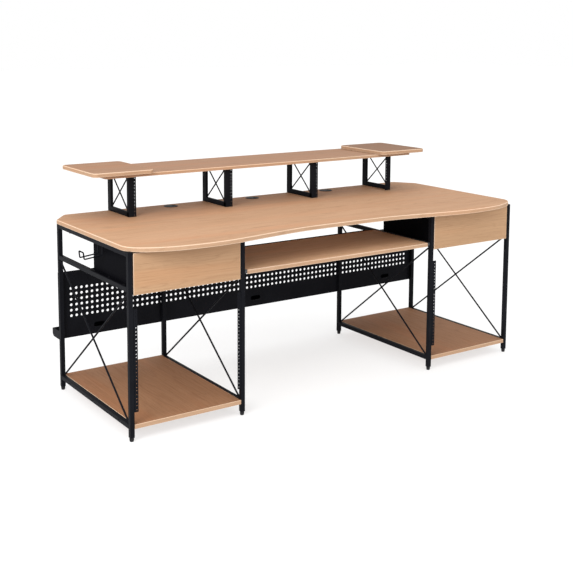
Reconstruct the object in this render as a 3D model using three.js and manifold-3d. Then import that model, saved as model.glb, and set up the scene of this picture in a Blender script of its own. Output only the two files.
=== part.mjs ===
// Studio desk with a sliding keyboard tray: two rack pedestals on square-tube side frames, a shaped
// desktop, two drawers, a perforated back panel with a cable trough, and a rack-height hutch shelf.
// Millimetres, +X to the user's right, +Y away from the user, +Z up, floor at z = 0.
import * as THREE from 'three';
import { mergeVertices } from 'three/addons/utils/BufferGeometryUtils.js';
import Module from 'manifold-3d';

const wasm = await Module();
wasm.setup();

// ---- driving dimensions -------------------------------------------------------------------------
const GAP = 0.3;                 // clearance between pieces that touch
const FRAME_W = 2070;            // over the outer faces of the two outer side frames
const PEDESTAL_W = 524;          // over the faces of one pedestal's two side frames
const FRAME_D = 720;             // front post face to rear post face
const FRAME_TOP = 752;           // top of the side frames
const TUBE = 19;                 // square tube
const FOOT_H = 16;               // glide under each post
const ROD_D = 8;                   // X-brace rod

const BOTTOM_RAIL_TOP = 68;      // also the top of the lower shelves
const MID_RAIL_TOP = 613;

const BOARD = 18;                // lower shelves, tray, drawer fronts, platforms
const DESK_TOP = 771;
const DESK_HALF_W = 1040;
const DESK_REAR = 452;
const DESK_CORNER = [78, 100];   // cut of the rear corners, along X and Y
const DESK_NOSE = 446;           // furthest reach of the front edge, over each pedestal
const DESK_RECESS = 376;         // reach of the front edge in the middle

const GROMMET_X = [-455, 0, 455];
const GROMMET_Y = 393;
const GROMMET_HOLE_R = 30;

const FRONT_BOTTOM = 582;        // drawer front, lower edge
const FRONT_TOP = 746;
const DRAWER_REAR = 6;
const DRAWER_BOTTOM = 617;
const DRAWER_TOP = 726;
const SHEET = 1.5;               // folded steel sheet
const HANGER = 2;                // plate that carries a drawer slide
const SIDE_GAP = 13;             // room for one slide between a frame and what it carries

const TRAY_TOP = 617;
const TRAY_REAR = 42;
const SLIDE_LENGTH = 380;

const STRIP_W = 16.7;            // rack strip, leaves a 19-inch rack opening between two strips
const STRIP_BOTTOM = 118;
const STRIP_TOP = 528;

const PANEL_TOP = 532;
const PANEL_BOTTOM = 228;
const TROUGH_DEPTH = 78;
const TROUGH_LIP = 36;           // height of the trough's rear wall
const TROUGH_EAR = 38;           // height of the plate closing each end
const SLOT_Z = 270;
const SLOT_W = 57;
const SLOT_H = 22;
const SLOT_X = [-840, 0, 840];

const HUTCH_FRONT = 206;
const HUTCH_REAR = 540;
const HUTCH_HALF_W = 870;
const HUTCH_TOP = 967;
const HUTCH_BOARD = 15;
const SUPPORT_X = [-750, -250, 248, 758];  // side face of each support; the last one is mirrored
const SUPPORT_FRONT = 228;
const SUPPORT_REAR = 452;
const ANGLE_FLANGE = 36;
const ANGLE_LEG = 20;
const ANGLE_T = 2.5;
const BAR_W = 12.5;
const BAR_H = 22.5;
const UPRIGHT_W = 34;
const WIRE_D = 6.5;               // crossed wires of the hutch supports

const PLATFORM_X = 795;          // centre of each platform, left and right
const PLATFORM_W = 290;
const PLATFORM_FRONT = 168;
const PLATFORM_REAR = 534;

const HOOK_Y = [-60, -104];      // the two arms of the headphone hook
const HOOK_WIRE_D = 6;
const HOOK_REACH = 82;           // how far the arms stand out from the frame's centre line
const HOOK_ROOT_Z = 695;
const HOOK_ARM_Z = 686;
const HOOK_TIP_Z = 714;

// ---- materials ----------------------------------------------------------------------------------
const steel = () => new THREE.MeshStandardMaterial({ color: 0x1f1f23, roughness: 0.55, metalness: 0.4 });
const zinc = () => new THREE.MeshStandardMaterial({ color: 0x3a3b40, roughness: 0.4, metalness: 0.7 });
const plastic = () => new THREE.MeshStandardMaterial({ color: 0x17171a, roughness: 0.6, metalness: 0 });
const wood = () => new THREE.MeshStandardMaterial({ color: 0xcfa380, roughness: 0.5, metalness: 0 });

const desk = new THREE.Group();

function place(name, geometry, material) {
  const mesh = new THREE.Mesh(geometry, material());
  mesh.name = name;
  desk.add(mesh);
  return mesh;
}

// ---- solid helpers ------------------------------------------------------------------------------
function solidOf(geometry) {
  const bare = geometry.clone();
  bare.deleteAttribute('normal');
  bare.deleteAttribute('uv');
  const merged = mergeVertices(bare, 1e-4);
  return new wasm.Manifold(new wasm.Mesh({
    numProp: 3,
    vertProperties: new Float32Array(merged.attributes.position.array),
    triVerts: new Uint32Array(merged.index.array),
  }));
}

function geometryOf(solid) {
  const mesh = solid.getMesh();
  const geometry = new THREE.BufferGeometry();
  geometry.setAttribute('position', new THREE.BufferAttribute(mesh.vertProperties, 3));
  geometry.setIndex(new THREE.BufferAttribute(mesh.triVerts, 1));
  geometry.computeVertexNormals();
  return geometry;
}

function union(...geometries) {
  return geometryOf(geometries.map(solidOf).reduce((whole, piece) => whole.add(piece)));
}

function cut(geometry, ...tools) {
  return geometryOf(tools.map(solidOf).reduce((whole, tool) => whole.subtract(tool), solidOf(geometry)));
}

// A block between two corners.
function block(x0, x1, y0, y1, z0, z1) {
  const geometry = new THREE.BoxGeometry(Math.abs(x1 - x0), Math.abs(y1 - y0), Math.abs(z1 - z0));
  geometry.translate((x0 + x1) / 2, (y0 + y1) / 2, (z0 + z1) / 2);
  return geometry;
}

// A level board with softened edges, from an outline in plan.
function board(outline, bottom, top, edge, curveSegments = 8) {
  const geometry = new THREE.ExtrudeGeometry(outline, {
    depth: top - bottom - 2 * edge,
    bevelThickness: edge,
    bevelSize: edge,
    bevelOffset: -edge,
    bevelSegments: 2,
    curveSegments,
  });
  geometry.translate(0, 0, bottom + edge);
  return geometry;
}

function rectangle(x0, x1, y0, y1) {
  const shape = new THREE.Shape();
  shape.moveTo(x0, y0);
  shape.lineTo(x1, y0);
  shape.lineTo(x1, y1);
  shape.lineTo(x0, y1);
  shape.closePath();
  return shape;
}

function roundedRectangle(x0, x1, y0, y1, r) {
  const shape = new THREE.Shape();
  shape.moveTo(x0 + r, y0);
  shape.lineTo(x1 - r, y0);
  shape.absarc(x1 - r, y0 + r, r, -Math.PI / 2, 0);
  shape.lineTo(x1, y1 - r);
  shape.absarc(x1 - r, y1 - r, r, 0, Math.PI / 2);
  shape.lineTo(x0 + r, y1);
  shape.absarc(x0 + r, y1 - r, r, Math.PI / 2, Math.PI);
  shape.lineTo(x0, y0 + r);
  shape.absarc(x0 + r, y0 + r, r, Math.PI, Math.PI * 1.5);
  return shape;
}

// A closed outline through straight points, extruded along +Y from y0 to y1; points are [x, z].
function alongY(points, y0, y1) {
  const shape = new THREE.Shape(points.map(([x, z]) => new THREE.Vector2(x, z)));
  const geometry = new THREE.ExtrudeGeometry(shape, { depth: y1 - y0, bevelEnabled: false });
  geometry.rotateX(Math.PI / 2);
  geometry.translate(0, y1, 0);
  return geometry;
}

// The same with points [y, z], extruded along +X from x0 to x1.
function alongX(shape, x0, x1) {
  const depth = x1 - x0;
  const geometry = new THREE.ExtrudeGeometry(shape, { depth, bevelEnabled: false, curveSegments: 4 });
  geometry.rotateX(Math.PI / 2);
  geometry.rotateZ(Math.PI / 2);
  geometry.translate(x0, 0, 0);
  return geometry;
}

// A straight round rod between two points.
function rod(from, to, diameter, sides) {
  const axis = to.clone().sub(from);
  const geometry = new THREE.CylinderGeometry(diameter / 2, diameter / 2, axis.length(), sides);
  const turn = new THREE.Quaternion().setFromUnitVectors(new THREE.Vector3(0, 1, 0), axis.normalize());
  geometry.applyQuaternion(turn);
  const middle = from.clone().add(to).multiplyScalar(0.5);
  geometry.translate(middle.x, middle.y, middle.z);
  return geometry;
}

// A C-channel open towards +X (side 1) or -X (side -1), its back against x, along Y.
function channel(x, side, depth, z0, z1, wall, y0, y1) {
  const points = [
    [0, z0], [depth, z0], [depth, z0 + wall], [wall, z0 + wall],
    [wall, z1 - wall], [depth, z1 - wall], [depth, z1], [0, z1],
  ];
  return alongY(points.map(([dx, z]) => [x + side * dx, z]), y0, y1);
}

// ---- side frames --------------------------------------------------------------------------------
const FRAME_FRONT = -FRAME_D / 2;
const FRAME_REAR = FRAME_D / 2;
const INNER_FRONT = FRAME_FRONT + TUBE;
const INNER_REAR = FRAME_REAR - TUBE;

const FRAMES = [
  { name: 'left_outer', x: -FRAME_W / 2 },
  { name: 'left_inner', x: -FRAME_W / 2 + PEDESTAL_W - TUBE },
  { name: 'right_inner', x: FRAME_W / 2 - PEDESTAL_W },
  { name: 'right_outer', x: FRAME_W / 2 - TUBE },
];

// Two posts with a top, a middle and a bottom rail, welded.
function sideFrame(x) {
  const weld = 1;
  const posts = [FRAME_FRONT, INNER_REAR].map((y) => block(x, x + TUBE, y, y + TUBE, FOOT_H, FRAME_TOP));
  const rails = [FRAME_TOP, MID_RAIL_TOP, BOTTOM_RAIL_TOP].map(
    (top) => block(x, x + TUBE, INNER_FRONT - weld, INNER_REAR + weld, top - TUBE, top),
  );
  return union(...posts, ...rails);
}

// A round black glide, tapering to its sole.
function glide(x, y) {
  const top = FOOT_H - GAP;
  const profile = [[0, 0], [7.4, 0], [8.4, 2], [9.2, 7], [9.4, top], [0, top]];
  const geometry = new THREE.LatheGeometry(profile.map(([r, h]) => new THREE.Vector2(r, h)), 12);
  geometry.rotateX(Math.PI / 2);
  geometry.translate(x, y, 0);
  return geometry;
}

// One diagonal of the X-brace, between opposite inner corners of the lower bay.
function braceRod(x, rising) {
  const clear = 6;
  const low = new THREE.Vector3(x, rising ? INNER_FRONT : INNER_REAR, BOTTOM_RAIL_TOP);
  const high = new THREE.Vector3(x, rising ? INNER_REAR : INNER_FRONT, MID_RAIL_TOP - TUBE);
  const step = high.clone().sub(low).normalize().multiplyScalar(clear);
  return rod(low.clone().add(step), high.clone().sub(step), ROD_D, 8);
}

for (const { name, x } of FRAMES) {
  const centre = x + TUBE / 2;
  const offset = ROD_D / 2 + GAP / 2;
  place(`side_frame_${name}`, sideFrame(x), steel);
  place(`brace_rising_${name}`, braceRod(centre - offset, true), steel);
  place(`brace_falling_${name}`, braceRod(centre + offset, false), steel);
  place(`foot_front_${name}`, glide(centre, FRAME_FRONT + TUBE / 2), plastic);
  place(`foot_rear_${name}`, glide(centre, FRAME_REAR - TUBE / 2), plastic);
}

// ---- desktop and grommets -----------------------------------------------------------------------
// The front edge swings out over each pedestal and back in the middle; the rear corners are cut off.
function desktopOutline() {
  const cutInner = DESK_HALF_W - DESK_CORNER[0];
  const cutFront = DESK_REAR - DESK_CORNER[1];
  const ease = 9;
  const right = new THREE.Path();
  right.moveTo(0, -DESK_RECESS);
  right.bezierCurveTo(70, -DESK_RECESS, 150, -DESK_RECESS, 220, -DESK_RECESS - 4);
  right.bezierCurveTo(400, -396, 560, -DESK_NOSE, 700, -DESK_NOSE);
  right.bezierCurveTo(770, -DESK_NOSE, 850, -440, 900, -424);
  right.bezierCurveTo(985, -398, DESK_HALF_W, -362, DESK_HALF_W, -300);
  right.lineTo(DESK_HALF_W, cutFront - ease);
  right.quadraticCurveTo(DESK_HALF_W, cutFront, DESK_HALF_W - ease, cutFront + ease);
  right.lineTo(cutInner + ease, DESK_REAR - ease);
  right.quadraticCurveTo(cutInner, DESK_REAR, cutInner - ease, DESK_REAR);
  const points = right.getPoints(7);
  const left = points.slice(1).reverse().map((p) => new THREE.Vector2(-p.x, p.y));
  const shape = new THREE.Shape([...points, ...left]);
  for (const x of GROMMET_X) {
    const hole = new THREE.Path();
    hole.absarc(x, GROMMET_Y, GROMMET_HOLE_R, 0, Math.PI * 2, true);
    shape.holes.push(hole);
  }
  return shape;
}

place('desktop', board(desktopOutline(), FRAME_TOP + GAP, DESK_TOP, 4), wood);

// A cable grommet: flange on the desktop, liner in the hole, cap with a cable notch.
function grommet(x) {
  const flange = 2.2;
  const linerR = GROMMET_HOLE_R - 1;
  const wall = 1.8;
  const top = DESK_TOP + GAP + flange;
  const profile = [
    [0, top - 3], [linerR - wall, top - 3], [linerR - wall, FRAME_TOP + 4], [linerR, FRAME_TOP + 4],
    [linerR, DESK_TOP + GAP], [linerR + 5, DESK_TOP + GAP], [linerR + 4, top], [0, top],
  ];
  const body = new THREE.LatheGeometry(profile.map(([r, h]) => new THREE.Vector2(r, h)), 24);
  body.rotateX(Math.PI / 2);
  body.translate(x, GROMMET_Y, 0);
  const notch = block(x + 8, x + 23, GROMMET_Y - 9, GROMMET_Y + 9, top - 8, top + 5);
  return cut(body, notch);
}

['left', 'middle', 'right'].forEach((name, i) => {
  place(`cable_grommet_${name}`, grommet(GROMMET_X[i]), plastic);
});

// ---- pedestals: lower shelves, rack strips, drawers ---------------------------------------------
// Each pedestal's inside runs from x0 to x1, between the two side frames.
const PEDESTALS = [
  { side: 'left', x0: -FRAME_W / 2 + TUBE, x1: -FRAME_W / 2 + PEDESTAL_W - TUBE },
  { side: 'right', x0: FRAME_W / 2 - PEDESTAL_W + TUBE, x1: FRAME_W / 2 - TUBE },
];

// An angle of sheet: one flange flush with the post's front, one screwed to its side.
function rackStrip(face, inward) {
  const thick = 2;
  const x = face + inward * GAP;
  const depth = 14;
  const front = block(x, x + inward * STRIP_W, FRAME_FRONT, FRAME_FRONT + thick, STRIP_BOTTOM, STRIP_TOP);
  const back = block(x, x + inward * thick, FRAME_FRONT, FRAME_FRONT + depth, STRIP_BOTTOM, STRIP_TOP);
  return union(front, back);
}

// The plate that carries a drawer slide: it stands on the middle rail and reaches the desktop, with a
// foot flange over the rail and a screw flange under the desktop.
function hangerPlate(face, inward) {
  const x = face + inward * GAP;
  const y0 = INNER_FRONT + 2;
  const y1 = DRAWER_REAR + 2;
  const z0 = MID_RAIL_TOP + GAP;
  const z1 = FRAME_TOP - GAP;
  const web = block(x, x + inward * HANGER, y0, y1, z0, z1);
  const foot = block(face - inward * (TUBE - 2), x + inward * HANGER, y0, y1, z0, z0 + HANGER);
  const head = block(x, x + inward * 15, y0, y1, z1 - HANGER, z1);
  return union(web, foot, head);
}

const DRAWER_SLIDE_Z = 660;
const DRAWER_SLIDE_H = 35;
const DRAWER_SLIDE_FRONT = INNER_FRONT + 6;
const DRAWER_SLIDE_REAR = DRAWER_REAR - 4;

function drawerSlide(face, inward) {
  const back = face + inward * (2 * GAP + HANGER);
  const z0 = DRAWER_SLIDE_Z - DRAWER_SLIDE_H / 2;
  const z1 = z0 + DRAWER_SLIDE_H;
  return channel(back, inward, 9, z0, z1, SHEET, DRAWER_SLIDE_FRONT, DRAWER_SLIDE_REAR);
}

// An open steel box with a runner on each side that rides in the drawer slides.
function drawerBox(x0, x1) {
  const left = x0 + SIDE_GAP;
  const right = x1 - SIDE_GAP;
  const front = FRAME_FRONT + BOARD + GAP;
  const floor = DRAWER_BOTTOM + SHEET;
  const shell = block(left, right, front, DRAWER_REAR, DRAWER_BOTTOM, DRAWER_TOP);
  const rear = DRAWER_REAR - SHEET;
  const inside = block(left + SHEET, right - SHEET, front + SHEET, rear, floor, DRAWER_TOP + 1);
  const reach = 8;
  const halfHeight = 13.5;
  const runners = [[left, -1], [right, 1]].map(([x, out]) => block(
    x - out * 0.5, x + out * reach, DRAWER_SLIDE_FRONT, DRAWER_SLIDE_REAR,
    DRAWER_SLIDE_Z - halfHeight, DRAWER_SLIDE_Z + halfHeight,
  ));
  return union(cut(shell, inside), ...runners);
}

// A front stands upright between the posts, its long edge across the pedestal.
function drawerFront(x0, x1) {
  const reveal = 3;
  const geometry = board(rectangle(x0 + reveal, x1 - reveal, FRONT_BOTTOM, FRONT_TOP), 0, BOARD, 1.5);
  geometry.rotateX(Math.PI / 2);
  geometry.translate(0, FRAME_FRONT + BOARD, 0);
  return geometry;
}

for (const { side, x0, x1 } of PEDESTALS) {
  const shelf = rectangle(x0 + GAP, x1 - GAP, FRAME_FRONT, FRAME_REAR);
  place(`lower_shelf_${side}`, board(shelf, BOTTOM_RAIL_TOP - BOARD, BOTTOM_RAIL_TOP, 1), wood);
  place(`drawer_front_${side}`, drawerFront(x0, x1), wood);
  place(`drawer_box_${side}`, drawerBox(x0, x1), steel);
  for (const [end, face, inward] of [['a', x0, 1], ['b', x1, -1]]) {
    place(`rack_strip_${side}_${end}`, rackStrip(face, inward), steel);
    place(`drawer_hanger_${side}_${end}`, hangerPlate(face, inward), steel);
    place(`drawer_slide_${side}_${end}`, drawerSlide(face, inward), zinc);
  }
}

// ---- keyboard tray ------------------------------------------------------------------------------
const KNEE_HALF = FRAME_W / 2 - PEDESTAL_W;
const TRAY_HALF = KNEE_HALF - SIDE_GAP;
const TRAY_SLIDE_Z = TRAY_TOP - BOARD / 2 + 2;
const TRAY_SLIDE_H = 17;
const TRAY_SLIDE_FRONT = FRAME_FRONT + 5;
const TRAY_SLIDE_REAR = TRAY_SLIDE_FRONT + SLIDE_LENGTH;

function traySlideOuter(side) {
  const z0 = TRAY_SLIDE_Z - TRAY_SLIDE_H / 2;
  const back = side * (KNEE_HALF - GAP);
  return channel(back, -side, 8.5, z0, z0 + TRAY_SLIDE_H, SHEET, TRAY_SLIDE_FRONT, TRAY_SLIDE_REAR);
}

// A tee: its plate lies on the tray's edge and its web runs in the channel.
function traySlideInner(side) {
  const plate = [1.5, 7];
  const web = [9.5, 4.5];
  const points = [
    [0, -plate[1]], [plate[0], -plate[1]], [plate[0], -web[1]], [web[0], -web[1]],
    [web[0], web[1]], [plate[0], web[1]], [plate[0], plate[1]], [0, plate[1]],
  ];
  const edge = side * (TRAY_HALF + GAP);
  const section = points.map(([dx, dz]) => [edge + side * dx, TRAY_SLIDE_Z + dz]);
  return alongY(section, TRAY_SLIDE_FRONT, TRAY_SLIDE_REAR);
}

const trayOutline = roundedRectangle(-TRAY_HALF, TRAY_HALF, FRAME_FRONT, TRAY_REAR, 10);
place('keyboard_tray', board(trayOutline, TRAY_TOP - BOARD, TRAY_TOP, 2, 3), wood);
for (const [name, side] of [['left', -1], ['right', 1]]) {
  place(`tray_slide_outer_${name}`, traySlideOuter(side), zinc);
  place(`tray_slide_inner_${name}`, traySlideInner(side), zinc);
}

// ---- back panel with cable trough ---------------------------------------------------------------
// One folded sheet: a tall panel on the rear posts, a floor running back and a low rear wall.
const PANEL_FRONT = FRAME_REAR + GAP;
const TROUGH_REAR = PANEL_FRONT + TROUGH_DEPTH;
const TROUGH_CHAMFER = 14;

function panelSection() {
  const top = PANEL_BOTTOM + TROUGH_LIP;
  const slope = SHEET * Math.tan(Math.PI / 8);
  return new THREE.Shape([
    [PANEL_FRONT, PANEL_TOP],
    [PANEL_FRONT, PANEL_BOTTOM],
    [TROUGH_REAR - TROUGH_CHAMFER, PANEL_BOTTOM],
    [TROUGH_REAR, PANEL_BOTTOM + TROUGH_CHAMFER],
    [TROUGH_REAR, top],
    [TROUGH_REAR - SHEET, top],
    [TROUGH_REAR - SHEET, PANEL_BOTTOM + TROUGH_CHAMFER + slope],
    [TROUGH_REAR - TROUGH_CHAMFER - slope, PANEL_BOTTOM + SHEET],
    [PANEL_FRONT + SHEET, PANEL_BOTTOM + SHEET],
    [PANEL_FRONT + SHEET, PANEL_TOP],
  ].map(([y, z]) => new THREE.Vector2(y, z)));
}

// The plate that closes each end of the trough, its upper rear corner well rounded.
function troughEar() {
  const front = PANEL_FRONT + 0.5;
  const rear = TROUGH_REAR - 0.2;
  const bottom = PANEL_BOTTOM + 0.2;
  const radius = 20;
  const shape = new THREE.Shape();
  shape.moveTo(front, bottom);
  shape.lineTo(rear - TROUGH_CHAMFER, bottom);
  shape.lineTo(rear, bottom + TROUGH_CHAMFER);
  shape.lineTo(rear, PANEL_BOTTOM + TROUGH_EAR - radius);
  shape.absarc(rear - radius, PANEL_BOTTOM + TROUGH_EAR - radius, radius, 0, Math.PI / 2);
  shape.lineTo(front, PANEL_BOTTOM + TROUGH_EAR);
  return shape;
}

// An obround cutter standing along Y.
function slotCutter(x) {
  const halfW = SLOT_W / 2;
  const halfH = SLOT_H / 2;
  const geometry = board(
    roundedRectangle(x - halfW, x + halfW, SLOT_Z - halfH, SLOT_Z + halfH, halfH - 0.1),
    0, 12, 0.5, 4,
  );
  geometry.rotateX(Math.PI / 2);
  geometry.translate(0, FRAME_REAR + 8, 0);
  return geometry;
}

const half = FRAME_W / 2;
const panel = union(
  alongX(panelSection(), -half, half),
  alongX(troughEar(), -half, -half + SHEET),
  alongX(troughEar(), half - SHEET, half),
);
place('modesty_panel', cut(panel, ...SLOT_X.map(slotCutter)), steel);

// ---- headphone hook -----------------------------------------------------------------------------
// A wire path through corner points, each corner rounded by the bend radius.
function bentWire(points, bend) {
  const path = new THREE.CurvePath();
  let from = points[0];
  for (let i = 1; i < points.length - 1; i += 1) {
    const into = points[i - 1].clone().sub(points[i]).normalize().multiplyScalar(bend).add(points[i]);
    const out = points[i + 1].clone().sub(points[i]).normalize().multiplyScalar(bend).add(points[i]);
    path.add(new THREE.LineCurve3(from, into));
    path.add(new THREE.QuadraticBezierCurve3(into, points[i], out));
    from = out;
  }
  path.add(new THREE.LineCurve3(from, points[points.length - 1]));
  return path;
}

// One wire welded under the outer frame's top rail: two arms that drop, reach out and turn up to a bar.
function hook() {
  const stem = -FRAME_W / 2 + TUBE / 2;
  const tip = stem - HOOK_REACH;
  const root = FRAME_TOP - TUBE - GAP;
  const arm = (y) => [
    [stem, root], [stem, HOOK_ROOT_Z], [tip + 3, HOOK_ARM_Z], [tip, HOOK_TIP_Z],
  ].map(([x, z]) => new THREE.Vector3(x, y, z));
  const section = new THREE.Shape();
  section.absarc(0, 0, HOOK_WIRE_D / 2, 0, Math.PI * 2);
  return new THREE.ExtrudeGeometry(section, {
    steps: 72,
    curveSegments: 4,
    bevelEnabled: false,
    extrudePath: bentWire([...arm(HOOK_Y[0]), ...arm(HOOK_Y[1]).reverse()], 6),
  });
}

place('headphone_hook', hook(), steel);

// ---- hutch --------------------------------------------------------------------------------------
const HUTCH_BOTTOM = HUTCH_TOP - HUTCH_BOARD;
const SUPPORT_BASE = DESK_TOP + GAP;
const SUPPORT_TOP = HUTCH_BOTTOM - GAP;
const BAR_TOP = SUPPORT_BASE + BAR_H;
const TAB = 50;                  // top tab under the shelf
const GUSSET = 16;

// A small triangular stiffener below the top tab, against the front angle.
function gusset(x, into) {
  const corner = SUPPORT_FRONT + ANGLE_LEG - 0.5;
  const top = SUPPORT_TOP - ANGLE_T + 0.5;
  const shape = new THREE.Shape([[corner, top], [corner, top - GUSSET], [corner + GUSSET, top]]
    .map(([y, z]) => new THREE.Vector2(y, z)));
  const near = into > 0 ? x : x - ANGLE_T;
  return alongX(shape, near, near + ANGLE_T);
}

// A front angle with the rack flange, a rear upright, a bottom bar and a top tab, welded.
function support(x, into) {
  const part = (reach, y0, y1, z0, z1) => block(x, x + into * reach, y0, y1, z0, z1);
  const angleRear = SUPPORT_FRONT + ANGLE_LEG;
  return union(
    part(ANGLE_FLANGE, SUPPORT_FRONT, SUPPORT_FRONT + ANGLE_T, SUPPORT_BASE, SUPPORT_TOP),
    part(ANGLE_T, SUPPORT_FRONT, angleRear, SUPPORT_BASE, SUPPORT_TOP),
    part(BAR_W, SUPPORT_REAR - UPRIGHT_W, SUPPORT_REAR, SUPPORT_BASE, SUPPORT_TOP),
    part(BAR_W, SUPPORT_FRONT + 1, SUPPORT_REAR, SUPPORT_BASE, BAR_TOP),
    part(ANGLE_FLANGE, SUPPORT_FRONT, angleRear + TAB, SUPPORT_TOP - ANGLE_T, SUPPORT_TOP),
    gusset(x, into),
  );
}

// Two wires crossing in the support's opening, welded where they cross.
function supportBrace(x, into) {
  const plane = x + into * BAR_W / 2;
  const clear = 3;
  const y0 = SUPPORT_FRONT + ANGLE_LEG + clear;
  const y1 = SUPPORT_REAR - UPRIGHT_W - clear;
  const z0 = BAR_TOP + clear;
  const z1 = SUPPORT_TOP - ANGLE_T - clear;
  const point = (y, z) => new THREE.Vector3(plane, y, z);
  return union(
    rod(point(y0, z0), point(y1, z1), WIRE_D, 8),
    rod(point(y1, z0), point(y0, z1), WIRE_D, 8),
  );
}

SUPPORT_X.forEach((x, i) => {
  const into = i === SUPPORT_X.length - 1 ? -1 : 1;
  place(`hutch_support_${i + 1}`, support(x, into), steel);
  place(`hutch_brace_${i + 1}`, supportBrace(x, into), steel);
});

const hutchOutline = roundedRectangle(-HUTCH_HALF_W, HUTCH_HALF_W, HUTCH_FRONT, HUTCH_REAR, 8);
place('hutch_shelf', board(hutchOutline, HUTCH_BOTTOM, HUTCH_TOP, 2, 3), wood);

for (const [name, side] of [['left', -1], ['right', 1]]) {
  const x = side * PLATFORM_X;
  const halfW = PLATFORM_W / 2;
  const outline = roundedRectangle(x - halfW, x + halfW, PLATFORM_FRONT, PLATFORM_REAR, 24);
  const bottom = HUTCH_TOP + GAP;
  place(`speaker_platform_${name}`, board(outline, bottom, bottom + BOARD, 2.5, 5), wood);
}

// The origin is on the floor, under the middle of the whole desk.
const bounds = new THREE.Box3().setFromObject(desk);
const centre = bounds.getCenter(new THREE.Vector3());
desk.position.set(-centre.x, -centre.y, -bounds.min.z);

export default desk;
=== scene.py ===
# Studio desk with a sliding keyboard tray: visible geometry, materials, light and camera over the
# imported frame. Lengths are metres in the row frame; at() takes millimetres from the desk's centre.
import math
import random

import bmesh
import bpy
from mathutils import Matrix, Vector


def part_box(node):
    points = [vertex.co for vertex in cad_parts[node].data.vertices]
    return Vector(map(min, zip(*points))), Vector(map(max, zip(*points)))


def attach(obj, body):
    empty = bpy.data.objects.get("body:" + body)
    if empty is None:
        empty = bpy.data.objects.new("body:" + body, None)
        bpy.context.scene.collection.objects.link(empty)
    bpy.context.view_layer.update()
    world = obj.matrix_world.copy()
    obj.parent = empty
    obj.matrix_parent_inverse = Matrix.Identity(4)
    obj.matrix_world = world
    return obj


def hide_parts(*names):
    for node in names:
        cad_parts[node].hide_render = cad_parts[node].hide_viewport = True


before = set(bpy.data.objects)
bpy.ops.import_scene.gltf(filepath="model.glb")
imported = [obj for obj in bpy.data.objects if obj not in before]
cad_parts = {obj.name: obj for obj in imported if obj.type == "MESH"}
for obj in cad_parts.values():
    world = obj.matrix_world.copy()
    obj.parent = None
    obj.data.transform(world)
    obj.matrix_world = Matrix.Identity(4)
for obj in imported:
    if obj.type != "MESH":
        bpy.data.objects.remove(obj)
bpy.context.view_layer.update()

MM = 0.001
FRAMES = ("left_outer", "left_inner", "right_inner", "right_outer")
LEFT_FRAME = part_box("side_frame_left_outer")
RIGHT_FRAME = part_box("side_frame_right_outer")
CENTRE = Vector(((LEFT_FRAME[0].x + RIGHT_FRAME[1].x) / 2, (LEFT_FRAME[0].y + LEFT_FRAME[1].y) / 2, 0))


def at(x, y, z):
    """A point in millimetres from the middle of the pedestals' footprint, in the row frame."""
    return CENTRE + Vector((x, y, z)) * MM


# ---- materials ----------------------------------------------------------------------------------
def new_material(name):
    """A node material and its tree, with the shader ready."""
    material = bpy.data.materials.new(name)
    material.use_nodes = True
    return material, material.node_tree, material.node_tree.nodes["Principled BSDF"]


def add_node(tree, kind, settings=None, **inputs):
    """A node with its settings and input values; a socket given as input is linked."""
    node = tree.nodes.new(kind)
    for key, value in (settings or {}).items():
        setattr(node, key, value)
    for key, value in inputs.items():
        socket = node.inputs[int(key[1:])] if key[0] == "i" and key[1:].isdigit() else node.inputs[key]
        if isinstance(value, bpy.types.NodeSocket):
            tree.links.new(value, socket)
        else:
            socket.default_value = value
    return node


def stretched(tree, scale, offset=(0, 0, 0)):
    """Object coordinates scaled by axis, to draw a texture out along the grain."""
    coordinates = add_node(tree, "ShaderNodeTexCoord")
    return add_node(
        tree, "ShaderNodeMapping", Vector=coordinates.outputs["Object"], Scale=scale, Location=offset
    ).outputs[0]


def noise(tree, vector, scale, detail=2.0, roughness=0.5, distortion=0.0):
    return add_node(
        tree, "ShaderNodeTexNoise", Vector=vector, Scale=scale, Detail=detail,
        Roughness=roughness, Distortion=distortion,
    ).outputs[0]


def math_node(tree, operation, a, b=0.0):
    return add_node(tree, "ShaderNodeMath", {"operation": operation}, i0=a, i1=b).outputs[0]


def plus(tree, a, b):
    return math_node(tree, "ADD", a, b)


def times(tree, a, b):
    return math_node(tree, "MULTIPLY", a, b)


def span(tree, value, low, high, out_low=0.0, out_high=1.0):
    """Maps low..high to out_low..out_high, clamped."""
    node = add_node(tree, "ShaderNodeMapRange", {"clamp": True}, Value=value)
    for key, number in (("From Min", low), ("From Max", high), ("To Min", out_low), ("To Max", out_high)):
        node.inputs[key].default_value = number
    return node.outputs[0]


def blend_colours(tree, factor, a, b):
    node = tree.nodes.new("ShaderNodeMix")
    node.data_type = "RGBA"
    for socket, value in ((node.inputs[0], factor), (node.inputs[6], a), (node.inputs[7], b)):
        if isinstance(value, bpy.types.NodeSocket):
            tree.links.new(value, socket)
        elif isinstance(value, (int, float)):
            socket.default_value = value
        else:
            socket.default_value = (*value, 1)
    return node.outputs[2]


def scaled(colour, factor):
    return tuple(factor * channel for channel in colour)


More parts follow.
